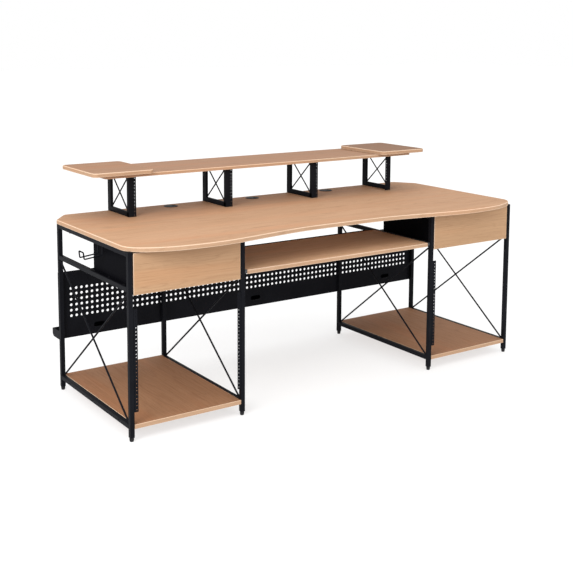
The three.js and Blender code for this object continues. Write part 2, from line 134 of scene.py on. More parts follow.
def oak(name, light, dark, along="X", across="Y", figure=1.0, lines_per_metre=34.0, line_depth=0.36):
    """Light oak-look board: growth lines running along one axis and bent by a slow noise, broad
    tone, fine streaks, pores and short flecks. figure is how far the growth lines wander, and
    line_depth how dark they are."""
    material, tree, shader = new_material(name)

    def drawn(by_along, by_across, offset=(0, 0, 0)):
        scale = [by_along if axis == along else by_across for axis in "XYZ"]
        return stretched(tree, scale, offset)

    position = add_node(tree, "ShaderNodeTexCoord").outputs["Object"]
    cross = add_node(tree, "ShaderNodeSeparateXYZ", Vector=position).outputs[across]
    drift = noise(tree, drawn(1.9, 12.0, (0.4, 0.2, 0.1)), 1.0, detail=1.0, roughness=0.4)
    ripple = noise(tree, drawn(7.0, 46.0, (1.7, 0.4, 0.9)), 1.0, detail=2.0)
    phase = plus(tree, times(tree, cross, lines_per_metre), times(tree, drift, 9.0 * figure))
    phase = plus(tree, phase, times(tree, ripple, 0.55 * figure))
    lines = span(tree, math_node(tree, "PINGPONG", phase, 0.5), 0.32, 0.50)
    patches = noise(tree, drawn(3.0, 26.0, (2.2, 5.1, 3.3)), 1.0, detail=2.0)
    fade = span(tree, patches, 0.38, 0.62, 0.25, 1.0)
    tone = noise(tree, drawn(0.9, 7.0, (3.1, 0.7, 1.9)), 1.0, detail=3.0)
    rosy = noise(tree, drawn(0.7, 12.0, (7.4, 2.6, 4.4)), 1.0, detail=2.0)
    pore_noise = noise(tree, drawn(11.0, 640.0), 1.0, detail=2.0, roughness=0.6)
    pores = span(tree, pore_noise, 0.56, 0.72)
    streaks = noise(tree, drawn(2.6, 150.0), 1.0, detail=4.0, roughness=0.65)
    fleck_noise = noise(tree, drawn(26.0, 240.0, (0.0, 0.5, 0.0)), 1.0, detail=1.0)
    flecks = span(tree, fleck_noise, 0.66, 0.74)

    depth = times(tree, times(tree, lines, fade), line_depth)
    depth = plus(tree, depth, times(tree, span(tree, tone, 0.35, 0.65), 0.22))
    depth = plus(tree, depth, times(tree, span(tree, streaks, 0.32, 0.70), 0.34))
    colour = blend_colours(tree, depth, light, dark)
    warm = (light[0] * 1.03, light[1] * 0.86, light[2] * 0.76)
    colour = blend_colours(tree, times(tree, span(tree, rosy, 0.48, 0.66), 0.42), colour, warm)
    colour = blend_colours(tree, times(tree, pores, 0.30), colour, scaled(dark, 0.45))
    colour = blend_colours(tree, times(tree, flecks, 0.20), colour, scaled(light, 1.12))
    tree.links.new(colour, shader.inputs["Base Color"])

    roughness = plus(tree, span(tree, streaks, 0.3, 0.7, 0.54, 0.64), times(tree, pores, 0.12))
    tree.links.new(roughness, shader.inputs["Roughness"])
    height = math_node(tree, "SUBTRACT", times(tree, streaks, 0.35), times(tree, pores, 0.8))
    bump = add_node(tree, "ShaderNodeBump", Height=height, Strength=0.16, Distance=0.0004)
    tree.links.new(bump.outputs[0], shader.inputs["Normal"])
    shader.inputs["Specular IOR Level"].default_value = 0.10
    return material


def powder_coat(name, colour, roughness=0.42, specular=0.035):
    """Black powder coat: a fine pebbled surface with a slightly uneven sheen."""
    material, tree, shader = new_material(name)
    flat = stretched(tree, (1, 1, 1))
    pebble = noise(tree, flat, 1900.0, detail=2.0, roughness=0.5)
    patch = noise(tree, flat, 9.0, detail=4.0, roughness=0.6)
    speck = span(tree, noise(tree, flat, 900.0, detail=1.0), 0.62, 0.72)
    tint = blend_colours(tree, span(tree, patch, 0.35, 0.65), colour, scaled(colour, 1.35))
    tint = blend_colours(tree, times(tree, speck, 0.25), tint, scaled(colour, 2.2))
    tree.links.new(tint, shader.inputs["Base Color"])
    sheen = span(tree, patch, 0.3, 0.7, roughness - 0.05, roughness + 0.07)
    tree.links.new(sheen, shader.inputs["Roughness"])
    bump = add_node(tree, "ShaderNodeBump", Height=pebble, Strength=0.22, Distance=0.00012)
    tree.links.new(bump.outputs[0], shader.inputs["Normal"])
    shader.inputs["Specular IOR Level"].default_value = specular
    return material


def slide_steel(name):
    """Rolled black-zinc slide steel, drawn along Y, with a thin film of grease."""
    material, tree, shader = new_material(name)
    drawn = noise(tree, stretched(tree, (900.0, 5.0, 900.0)), 1.0, detail=3.0, roughness=0.6)
    smear = noise(tree, stretched(tree, (1, 1, 1)), 24.0, detail=3.0)
    colour = blend_colours(tree, span(tree, drawn, 0.3, 0.7), (0.060, 0.062, 0.068), (0.105, 0.108, 0.115))
    tree.links.new(colour, shader.inputs["Base Color"])
    tree.links.new(span(tree, smear, 0.35, 0.65, 0.28, 0.44), shader.inputs["Roughness"])
    bump = add_node(tree, "ShaderNodeBump", Height=drawn, Strength=0.12, Distance=0.00008)
    tree.links.new(bump.outputs[0], shader.inputs["Normal"])
    shader.inputs["Metallic"].default_value = 0.85
    return material


def moulded_plastic(name, colour):
    """Matt moulded plastic with a spark-eroded texture."""
    material, tree, shader = new_material(name)
    flat = stretched(tree, (1, 1, 1))
    texture = noise(tree, flat, 1400.0, detail=3.0, roughness=0.6)
    scuff = noise(tree, flat, 60.0, detail=4.0, roughness=0.65)
    tint = blend_colours(tree, span(tree, scuff, 0.45, 0.75), colour, scaled(colour, 1.5))
    tree.links.new(tint, shader.inputs["Base Color"])
    tree.links.new(span(tree, scuff, 0.3, 0.7, 0.50, 0.66), shader.inputs["Roughness"])
    bump = add_node(tree, "ShaderNodeBump", Height=texture, Strength=0.3, Distance=0.00015)
    tree.links.new(bump.outputs[0], shader.inputs["Normal"])
    shader.inputs["Specular IOR Level"].default_value = 0.3
    return material


DESKTOP_OAK = oak("oak_desktop", (0.440, 0.262, 0.155), (0.290, 0.159, 0.086), lines_per_metre=26.0)
# The hutch shelf's oak is a darker copy of the desktop's: painted shade for the light falling off toward
# the rear.
HUTCH_OAK_PAINTED_SHADE = oak("oak_hutch_painted_shade", (0.330, 0.190, 0.117), (0.215, 0.114, 0.065), lines_per_metre=30.0)
# The platforms' oak is darker than the desktop's, and the right one darkest: painted shade for the light
# falling off toward the right and the rear.
PLATFORM_OAK_PAINTED_SHADE = {
    "left": oak("oak_platform_left_painted_shade", (0.322, 0.184, 0.110), (0.210, 0.110, 0.061), lines_per_metre=30.0),
    "right": oak("oak_platform_right_painted_shade", (0.236, 0.135, 0.083), (0.153, 0.081, 0.046), lines_per_metre=30.0),
}
# The tray's oak is lighter than the desktop's: painted light that makes up for the shade the desktop casts
# over the tray.
TRAY_OAK_PAINTED_LIGHT = oak("oak_tray_painted_light", (0.655, 0.415, 0.252), (0.440, 0.252, 0.142), lines_per_metre=26.0)
# The lower shelves' oak is darker and redder than the desktop's: partly the boards' own tone, partly
# painted shade from the desktop above them.
SHELF_OAK_TONE_AND_SHADE = oak("oak_lower_shelf_tone_and_painted_shade", (0.300, 0.154, 0.081), (0.186, 0.087, 0.043), along="Y", across="X",
                line_depth=0.30)
FRONT_OAK = oak("oak_drawer_front", (0.430, 0.268, 0.154), (0.278, 0.155, 0.084), across="Z",
                figure=1.7, lines_per_metre=42.0, line_depth=0.24)
EDGE_OAK = oak("oak_edge_band", (0.430, 0.275, 0.175), (0.330, 0.198, 0.118), figure=0.4)
# The roundings along the board edges are a paler oak: a painted highlight where the edges catch the light.
ARRIS_OAK_PAINTED_HIGHLIGHT = oak("oak_rounded_edge_painted_highlight", (0.620, 0.460, 0.335), (0.510, 0.350, 0.240), figure=0.4)
STEEL = powder_coat("black_powder_coat", (0.0058, 0.0061, 0.0078), specular=0.028)
# The hangers and drawer boxes get a darker copy of the powder coat: painted shade for their place inside
# the pedestals.
INNER_STEEL_PAINTED_SHADE = powder_coat("inner_steel_painted_shade", (0.0030, 0.0030, 0.0040), specular=0.004)
BOLT = powder_coat("blackened_bolt", (0.0085, 0.0085, 0.0095), roughness=0.30)
SLIDE = slide_steel("slide_steel")
PLASTIC = moulded_plastic("black_plastic", (0.0060, 0.0060, 0.0068))


# ---- mesh helpers -------------------------------------------------------------------------------
def finish_piece(name, bm, materials, body="desk", nodes=(), sharp=35):
    """Turns the mesh into a piece that rides on its body and stands for its CAD nodes."""
    bmesh.ops.recalc_face_normals(bm, faces=bm.faces)
    mesh = bpy.data.meshes.new(name)
    bm.to_mesh(mesh)
    bm.free()
    piece = bpy.data.objects.new(name, mesh)
    bpy.context.scene.collection.objects.link(piece)
    for material in materials:
        mesh.materials.append(material)
    mesh.shade_smooth()
    mesh.set_sharp_from_angle(angle=math.radians(sharp))
    weighted = piece.modifiers.new("weighted normals", "WEIGHTED_NORMAL")
    weighted.keep_sharp = True
    weighted.weight = 80
    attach(piece, body)
    if nodes:
        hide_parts(*nodes)
    return piece


def new_ring(bm, points):
    return [bm.verts.new(p) for p in points]


def bridge(bm, a, b, material=0):
    """Quads between two closed rings of the same length."""
    for i in range(len(a)):
        j = (i + 1) % len(a)
        bm.faces.new((a[i], a[j], b[j], b[i])).material_index = material


def inset(loop, distance):
    """A closed 2D loop, anticlockwise, moved inwards by a distance."""
    moved = []
    for i, point in enumerate(loop):
        before = (point - loop[i - 1]).normalized()
        after = (loop[(i + 1) % len(loop)] - point).normalized()
        n0, n1 = Vector((-before.y, before.x)), Vector((-after.y, after.x))
        moved.append(point + (n0 + n1) * (distance / (1 + n0.dot(n1))))
    return moved


def arc(centre, radius, start, end, steps):
    """Points on an arc, in degrees, both ends included."""
    angles = [math.radians(start + (end - start) * k / steps) for k in range(steps + 1)]
    return [Vector((centre[0] + radius * math.cos(a), centre[1] + radius * math.sin(a))) for a in angles]


def rounded_rectangle(x0, x1, y0, y1, radius, steps=6):
    return [
        point
        for cx, cy, start in (
            (x1 - radius, y0 + radius, -90), (x1 - radius, y1 - radius, 0),
            (x0 + radius, y1 - radius, 90), (x0 + radius, y0 + radius, 180),
        )
        for point in arc((cx, cy), radius, start, start + 90, steps)
    ]


def slab(bm, outline, low, high, edge, lift, steps=4, holes=(), face=0, rim=1, arris=2):
    """A board of any outline with rounded edges. lift(u, v, w) places a point; holes are loops.
    face, rim and arris are the material slots of the two faces, the upright edge and its roundings."""
    quarter = [math.radians(90 * k / steps) for k in range(steps + 1)]
    profile = [(edge * (1 - math.sin(a)), low + edge * (1 - math.cos(a))) for a in quarter]
    profile += [(edge * (1 - math.cos(a)), high - edge * (1 - math.sin(a))) for a in quarter]
    rings = [new_ring(bm, [lift(p.x, p.y, w) for p in inset(outline, d)]) for d, w in profile]
    for k, (a, b) in enumerate(zip(rings, rings[1:])):
        bridge(bm, a, b, rim if k == steps else arris)
    if not holes:
        for ring in (rings[0], rings[-1]):
            bm.faces.new(ring).material_index = face
        return
    walls = [[new_ring(bm, [lift(p.x, p.y, w) for p in hole]) for w in (low, high)] for hole in holes]
    for bottom, top in walls:
        bridge(bm, bottom, top, rim)
    for side, ring in ((0, rings[0]), (1, rings[-1])):
        loops = [ring, *[wall[side] for wall in walls]]
        edges = [bm.edges.get((loop[i - 1], loop[i])) for loop in loops for i in range(len(loop))]
        filled = bmesh.ops.triangle_fill(bm, use_beauty=True, use_dissolve=False, edges=edges)
        for item in filled["geom"]:
            if isinstance(item, bmesh.types.BMFace):
                item.material_index = face


def level(u, v, w):
    return Vector((u, v, w))


def square_tube(bm, start, end, width, height, side, radius=1.6 * MM, steps=3):
    """A closed bar of rounded rectangular section from start to end; side is the width's direction."""
    axis = (end - start).normalized()
    rise = axis.cross(side).normalized()
    section = rounded_rectangle(-width / 2, width / 2, -height / 2, height / 2, radius, steps)
    small = inset(section, radius * 0.35)
    ease = axis * radius * 0.35
    stations = ((start, small), (start + ease, section), (end - ease, section), (end, small))
    rings = [new_ring(bm, [base + side * p.x + rise * p.y for p in loop]) for base, loop in stations]
    for a, b in zip(rings, rings[1:]):
        bridge(bm, a, b)
    bm.faces.new(rings[0])
    bm.faces.new(rings[-1])


def sweep(bm, points, radius, sides=12, closed=False):
    """A round wire along a path, its frame carried along without twist."""
    count = len(points)
    tangents = []
    for i in range(count):
        before = points[i - 1] if closed or i else points[i]
        after = points[(i + 1) % count] if closed or i < count - 1 else points[i]
        tangents.append((after - before).normalized())
    across = tangents[0].orthogonal().normalized()
    rings = []
    for point, tangent in zip(points, tangents):
        across = (across - tangent * across.dot(tangent)).normalized()
        other = tangent.cross(across)
        ring = []
        for k in range(sides):
            angle = 2 * math.pi * k / sides
            ring.append(point + (across * math.cos(angle) + other * math.sin(angle)) * radius)
        rings.append(new_ring(bm, ring))
    for a, b in zip(rings, rings[1:]):
        bridge(bm, a, b)
    if not closed:
        bm.faces.new(rings[0])
        bm.faces.new(rings[-1])
        return
    first, last = rings[0], rings[-1]
    shift = min(range(sides), key=lambda k: (first[k].co - last[0].co).length)
    bridge(bm, last, [first[(k + shift) % sides] for k in range(sides)])


def bent_path(corners, bend, steps=6):
    """Straight runs between corner points, each inner corner turned with a bend."""
    path = [corners[0]]
    for before, corner, after in zip(corners, corners[1:], corners[2:]):
        a = corner + (before - corner).normalized() * bend
        b = corner + (after - corner).normalized() * bend
        for k in range(steps + 1):
            t = k / steps
            path.append(a * (1 - t) ** 2 + corner * 2 * t * (1 - t) + b * t ** 2)
    path.append(corners[-1])
    return path


def diagonal_rod(bm, node, rising, radius):
    """A straight rod across its node's box in the YZ plane, its flat ends inside the box."""
    lo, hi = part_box(node)
    x = (lo.x + hi.x) / 2
    way = 1 if rising else -1
    run = Vector((0, hi.y - lo.y, hi.z - lo.z)).normalized()
    trim = Vector((0, way * run.z, run.y)) * radius
    low = Vector((x, lo.y if rising else hi.y, lo.z)) + trim
    high = Vector((x, hi.y if rising else lo.y, hi.z)) - trim
    sweep(bm, [low.lerp(high, k / 8) for k in range(9)], radius, 14)


def turned(bm, profile, base, axis, sides=24, shape=None):
    """A solid turned about axis. profile is (radius, height) pairs; shape(i, angle) scales a ring."""
    across = axis.orthogonal().normalized()
    other = axis.cross(across)
    rings = []
    for i, (radius, height) in enumerate(profile):
        ring = []
        for k in range(sides):
            angle = 2 * math.pi * k / sides
            r = radius * (shape(i, angle) if shape else 1.0)
            ring.append(base + axis * height + (across * math.cos(angle) + other * math.sin(angle)) * r)
        rings.append(new_ring(bm, ring))
    for a, b in zip(rings, rings[1:]):
        bridge(bm, a, b)
    bm.faces.new(rings[0])
    bm.faces.new(rings[-1])


def hexagon(angle):
    """The radius of a hexagon of unit flat distance in a direction."""
    return 1 / math.cos((angle + math.pi / 6) % (math.pi / 3) - math.pi / 6)


def button_screw(bm, base, axis, radius=4.6 * MM):
    """A button-head screw with a hexagon socket, its seat at base."""
    height = radius * 0.52
    dome = []
    for angle in map(math.radians, (0, 25, 45, 60)):
        dome.append((radius * math.cos(angle), height * (0.15 + 0.85 * math.sin(angle))))
    socket = radius * 0.36
    recess = [(socket * 1.06, height), (socket, height * 0.94), (socket, height * 0.3)]
    profile = [(radius * 0.97, 0), *dome, *recess]
    turned(bm, profile, base, axis, 24, lambda i, angle: hexagon(angle) if i >= 5 else 1.0)


def hex_bolt(bm, base, axis, radius=5.5 * MM):
    """A washer and a hexagon head."""
    washer = [(radius * 1.25, 0), (radius * 1.3, 0.3 * MM)]
    washer += [(radius * 1.3, 0.9 * MM), (radius * 1.2, 1.2 * MM)]
    turned(bm, washer, base, axis, 24)
    head = [(radius * 0.86, 1.2 * MM), (radius * 0.87, 4.2 * MM), (radius * 0.8, 4.8 * MM)]
    turned(bm, head, base, axis, 24, lambda i, angle: hexagon(angle) if i < 2 else 1.0)


def weld_bead(bm, centre, width, height, side, rise, rng, radius):
    """A small rippled bead round the end of a square tube."""
    half_w, half_h = width / 2, height / 2
    loop = rounded_rectangle(-half_w, half_w, -half_h, half_h, 1.6 * MM, 3)
    fine = []
    for a, b in zip(loop, loop[1:] + loop[:1]):
        count = max(1, round((b - a).length / (2.2 * MM)))
        fine += [a.lerp(b, k / count) for k in range(count)]
    points = [centre + side * p.x + rise * p.y for p in fine]
    jitter = [p + Vector([rng.uniform(-0.12, 0.12) * MM for _ in range(3)]) for p in points]
    sweep(bm, jitter, radius, 6, closed=True)


class Sheet:
    """A steel sheet drawn flat from cells, folded by a mapping, and then given its thickness."""

    def __init__(self, fold):
        self.bm = bmesh.new()
        self.fold = fold
        self.corners = {}

    def corner(self, u, v):
        key = (round(u, 7), round(v, 7))
        if key not in self.corners:
            self.corners[key] = self.bm.verts.new(self.fold(u, v))
        return self.corners[key]

    def cell(self, points):
        self.bm.faces.new([self.corner(u, v) for u, v in points])

    def grid(self, us, vs):
        for u0, u1 in zip(us, us[1:]):
            for v0, v1 in zip(vs, vs[1:]):
                self.cell(((u0, v0), (u1, v0), (u1, v1), (u0, v1)))

    def pierced(self, u0, u1, v0, v1, centre, radius, half_length=0.0, steps=4):
        """A cell with a round hole, or a slot along u when half_length is given."""
        frames = [(u0, v0), (u1, v0), (u1, v1), (u0, v1)]
        for side in range(4):
            start = -135 + 90 * side
            rim = []
            for k in range(steps + 1):
                angle = math.radians(start + 90 * k / steps)
                across, rise = radius * math.cos(angle), radius * math.sin(angle)
                shifts = [math.copysign(half_length, across)]
                if half_length and abs(math.cos(angle)) < 1e-6:
                    shifts = sorted((-half_length, half_length), reverse=side == 2)
                rim += [(centre[0] + shift + across, centre[1] + rise) for shift in shifts]
            self.cell([frames[side], frames[(side + 1) % 4], *reversed(rim)])

    def thicken(self, thickness):
        """Adds the back face, thickness behind the drawn one, and closes every edge."""
        bm = self.bm
        bm.normal_update()
        faces = list(bm.faces)
        rims = [edge for edge in bm.edges if edge.is_boundary]
        back = {v: bm.verts.new(v.co - v.normal * thickness) for v in list(bm.verts)}
        walls = [(edge.link_loops[0].vert, edge.link_loops[0].link_loop_next.vert) for edge in rims]
        for face in faces:
            bm.faces.new([back[v] for v in reversed(face.verts)])
        for a, b in walls:
            bm.faces.new((b, a, back[a], back[b]))
        return bm


def rack_holes(bottom, top, first):
    """Heights of the holes of a 19-inch rack column: pitches of 15.875, 15.875 and 12.7 mm."""
    heights, pitch, k = [first], (15.875 * MM, 15.875 * MM, 12.7 * MM), 0
    while heights[-1] + pitch[k % 3] < top - 5 * MM:
        heights.append(heights[-1] + pitch[k % 3])
        k += 1
    return [h for h in heights if h > bottom + 4 * MM]


def angle_section(width, depth, bend, thickness, bottom, top, hole_at, hole_radius, first):
    """An L-angle with a column of rack holes in its front flange. The corner is at the origin, the
    front flange along +X, the side flange along +Y."""
    steps = 4
    turn = bend * math.pi / 2

    def fold(u, v):
        if u >= 0:
            return Vector((bend + u, 0, v))
        if u > -turn:
            a = -u / bend
            return Vector((bend - bend * math.sin(a), bend - bend * math.cos(a), v))
        return Vector((0, bend - turn - u, v))

    sheet = Sheet(fold)
    heights = rack_holes(bottom, top, first)
    edges = [bottom, heights[0] - 6 * MM]
    edges += [(a + b) / 2 for a, b in zip(heights, heights[1:])]
    edges += [min(heights[-1] + 6 * MM, top - 1 * MM), top]
    hole_edge = hole_at - bend - hole_radius - 1.6 * MM
    bends = [-turn + turn * k / steps for k in range(steps + 1)]
    sheet.grid([-(depth - bend) - turn, *bends, hole_edge], edges)
    for height, low, high in zip(heights, edges[1:], edges[2:]):
        sheet.pierced(hole_edge, width - bend, low, high, (hole_at - bend, height), hole_radius)
    for low, high in ((edges[0], edges[1]), (edges[-2], edges[-1])):
        sheet.grid([hole_edge, width - bend], [low, high])
    return sheet.thicken(thickness)


def place_mirrored(bm, corner, flip):
    """Moves geometry made at the origin to its corner, mirrored left to right if flip."""
    matrix = Matrix.Translation(corner) @ Matrix.Diagonal((-1 if flip else 1, 1, 1, 1))
    bm.transform(matrix)
    return bm


X, Y, Z = Vector((1, 0, 0)), Vector((0, 1, 0)), Vector((0, 0, 1))
screws = bmesh.new()


# ---- boards -------------------------------------------------------------------------------------
def bezier(p0, p1, p2, p3, steps):
    out = []
    for k in range(1, steps + 1):
        t = k / steps
        out.append(p0 * (1 - t) ** 3 + p1 * 3 * t * (1 - t) ** 2 + p2 * 3 * t ** 2 * (1 - t) + p3 * t ** 3)
    return out


def desktop_outline():
    """The right half from the middle of the front edge to the rear, then its mirror image."""
    lo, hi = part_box("desktop")
    half, front, rear = (hi.x - lo.x) / 2 / MM, (lo.y - CENTRE.y) / MM, (hi.y - CENTRE.y) / MM
    recess, ease = front + 70, 9
    cut_x, cut_y = half - 78, rear - 100

    def v(x, y):
        return Vector((x, y))

    right = [v(0, recess)]
    for a, b, c in (
        (v(70, recess), v(150, recess), v(220, recess - 4)),
        (v(400, recess - 20), v(560, front), v(700, front)),
        (v(770, front), v(850, front + 6), v(900, front + 22)),
        (v(985, front + 48), v(half, front + 84), v(half, front + 146)),
    ):
        right += bezier(right[-1], a, b, c, 20)
    for before, corner, after in (
        (v(half, cut_y - ease), v(half, cut_y), v(half - ease, cut_y + ease)),
        (v(cut_x + ease, rear - ease), v(cut_x, rear), v(cut_x - ease, rear)),
    ):
        right.append(before)
        right += bezier(before, before.lerp(corner, 2 / 3), after.lerp(corner, 2 / 3), after, 6)
    points = right + [v(-p.x, p.y) for p in reversed(right[1:])]
    return [(at(p.x, p.y, 0)).xy for p in points]


def make_board(node, name, radius, edge, oak_face, body="desk", rear=0.0):
    """A rectangular board over its CAD node, kept short of the node's rear edge by rear."""
    lo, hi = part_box(node)
    bm = bmesh.new()
    outline = rounded_rectangle(lo.x, hi.x, lo.y, hi.y - rear, radius, 8)
    slab(bm, outline, lo.z, hi.z, edge, level)
    return finish_piece(name, bm, (oak_face, EDGE_OAK, ARRIS_OAK_PAINTED_HIGHLIGHT), body, (node,))


desk_lo, desk_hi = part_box("desktop")
bm = bmesh.new()
grommets = [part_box(f"cable_grommet_{side}") for side in ("left", "middle", "right")]
holes = [arc(((lo + hi) / 2).xy, 30 * MM, 0, 360 - 360 / 48, 47) for lo, hi in grommets]
slab(bm, desktop_outline(), desk_lo.z, desk_hi.z, 3 * MM, level, 4, holes)
finish_piece("desktop_board", bm, (DESKTOP_OAK, EDGE_OAK, ARRIS_OAK_PAINTED_HIGHLIGHT), "desk", ("desktop",))

make_board("hutch_shelf", "hutch_shelf_board", 8 * MM, 2.5 * MM, HUTCH_OAK_PAINTED_SHADE)
for side in ("left", "right"):
    node = f"speaker_platform_{side}"
    make_board(node, f"{node}_board", 24 * MM, 3 * MM, PLATFORM_OAK_PAINTED_SHADE[side])
    node = f"lower_shelf_{side}"
    make_board(node, f"{node}_board", 1.5 * MM, 1.4 * MM, SHELF_OAK_TONE_AND_SHADE)
make_board("keyboard_tray", "keyboard_tray_board", 10 * MM, 3 * MM, TRAY_OAK_PAINTED_LIGHT, "keyboard_tray", 3.2 * MM)

# A black strip closes the tray's rear edge and stands a little above it.
lo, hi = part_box("keyboard_tray")
bm = bmesh.new()
strip = rounded_rectangle(lo.x + 8 * MM, hi.x - 8 * MM, hi.y - 3 * MM, hi.y, 1.4 * MM, 3)
slab(bm, strip, lo.z + 1 * MM, hi.z + 3 * MM, 0.6 * MM, level, 2, (), 0, 0, 0)
finish_piece("keyboard_tray_rear_strip", bm, (STEEL,), "keyboard_tray")

for side in ("left", "right"):
    lo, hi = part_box(f"drawer_front_{side}")
    bm = bmesh.new()
    outline = rounded_rectangle(lo.x, hi.x, lo.z, hi.z, 2.4 * MM, 4)
    slab(bm, outline, lo.y, hi.y, 2.0 * MM, lambda u, v, w: Vector((u, w, v)))
    finish_piece(
        f"drawer_front_{side}_board", bm, (FRONT_OAK, EDGE_OAK, ARRIS_OAK_PAINTED_HIGHLIGHT), f"{side}_drawer",
        (f"drawer_front_{side}",),
    )

# ---- side frames, braces and feet ---------------------------------------------------------------
rng = random.Random(7)
TUBE = 19 * MM
MID_RAIL_TOP, BOTTOM_RAIL_TOP = 613 * MM, 68 * MM
SHELF_SCREW_Z, DESK_BOLT_Z = 58.5 * MM, 733 * MM
BEAD_RADIUS = 0.9 * MM
BRACE_RADIUS, HUTCH_WIRE_RADIUS = 3.95 * MM, 3.2 * MM
for name in FRAMES:
    node = f"side_frame_{name}"
    lo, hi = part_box(node)
    x = (lo.x + hi.x) / 2
    bm = bmesh.new()
    for y in (lo.y + TUBE / 2, hi.y - TUBE / 2):
        square_tube(bm, Vector((x, y, lo.z)), Vector((x, y, hi.z)), TUBE, TUBE, X)
    for top in (hi.z, MID_RAIL_TOP, BOTTOM_RAIL_TOP):
        z = top - TUBE / 2
        start, end = Vector((x, lo.y + TUBE - 0.6 * MM, z)), Vector((x, hi.y - TUBE + 0.6 * MM, z))
        square_tube(bm, start, end, TUBE, TUBE, X)
        for y, way in ((lo.y + TUBE, 1), (hi.y - TUBE, -1)):
            bead = Vector((x, y + way * 0.2 * MM, z))
            weld_bead(bm, bead, TUBE - 1.0 * MM, TUBE - 1.0 * MM, X, Z, rng, BEAD_RADIUS)
    finish_piece(f"{node}_tubes", bm, (STEEL,), "desk", (node,))

for name in FRAMES:
    lo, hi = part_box(f"side_frame_{name}")
    outside = -X if lo.x < CENTRE.x else X
    if "inner" in name:
        outside = -outside
    face = lo.x if outside.x < 0 else hi.x
    for y in (-250, 0, 250):
        seat = Vector((face, CENTRE.y + y * MM, SHELF_SCREW_Z))
        button_screw(screws, seat, outside, 4.2 * MM)
    for y in (-230, 230):
        seat = Vector(((lo.x + hi.x) / 2, CENTRE.y + y * MM, DESK_BOLT_Z))
        hex_bolt(screws, seat, -Z, 4.6 * MM)

for name in FRAMES:
    for way in ("rising", "falling"):
        node = f"brace_{way}_{name}"
        bm = bmesh.new()
        diagonal_rod(bm, node, way == "rising", BRACE_RADIUS)
        finish_piece(f"{node}_rod", bm, (STEEL,), "desk", (node,))

# A glide's radius and height up from the floor, in millimetres: cone, groove and locking ring.
GLIDE_PROFILE = (
    (6.8, 0), (7.4, 0.3), (7.8, 1.2), (8.2, 2.6), (8.8, 6.2), (9.2, 10.0), (9.3, 11.4), (9.1, 12.0),
    (8.6, 12.3), (8.6, 12.8), (9.1, 13.1), (9.35, 13.6), (9.35, 15.2), (9.1, 15.7),
)
for name in FRAMES:
    for end in ("front", "rear"):
        node = f"foot_{end}_{name}"
        lo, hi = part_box(node)
        base = Vector(((lo.x + hi.x) / 2, (lo.y + hi.y) / 2, lo.z))
        rise = (hi.z - lo.z) / GLIDE_PROFILE[-1][1]
        bm = bmesh.new()
        turned(bm, [(r * MM, h * rise) for r, h in GLIDE_PROFILE], base, Z, 32)
        finish_piece(f"{node}_glide", bm, (PLASTIC,), "desk", (node,))

# ---- rack strips --------------------------------------------------------------------------------
STRIP_BEND, STRIP_T = 2.4 * MM, 2 * MM
STRIP_HOLE_AT, STRIP_HOLE_R, STRIP_FIRST_HOLE = 10.2 * MM, 2.4 * MM, 9 * MM
for side in ("left", "right"):
    for end, flip in (("a", False), ("b", True)):
        node = f"rack_strip_{side}_{end}"
        lo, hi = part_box(node)
        bm = angle_section(
            hi.x - lo.x, hi.y - lo.y, STRIP_BEND, STRIP_T, lo.z, hi.z,
            STRIP_HOLE_AT, STRIP_HOLE_R, lo.z + STRIP_FIRST_HOLE,
        )
        place_mirrored(bm, Vector((hi.x if flip else lo.x, lo.y, 0)), flip)
        finish_piece(f"{node}_angle", bm, (STEEL,), "desk", (node,))

# ---- back panel and cable trough ----------------------------------------------------------------
PITCH, HOLE = 25 * MM, 6 * MM
COLUMNS, ROWS = 79, 6
LOWEST_ROW_Z = 327.5 * MM
SLOT_Z, SLOT_CELL = 270 * MM, 15 * MM
SLOT_RADIUS, SLOT_HALF_LENGTH = 11 * MM, 17.5 * MM


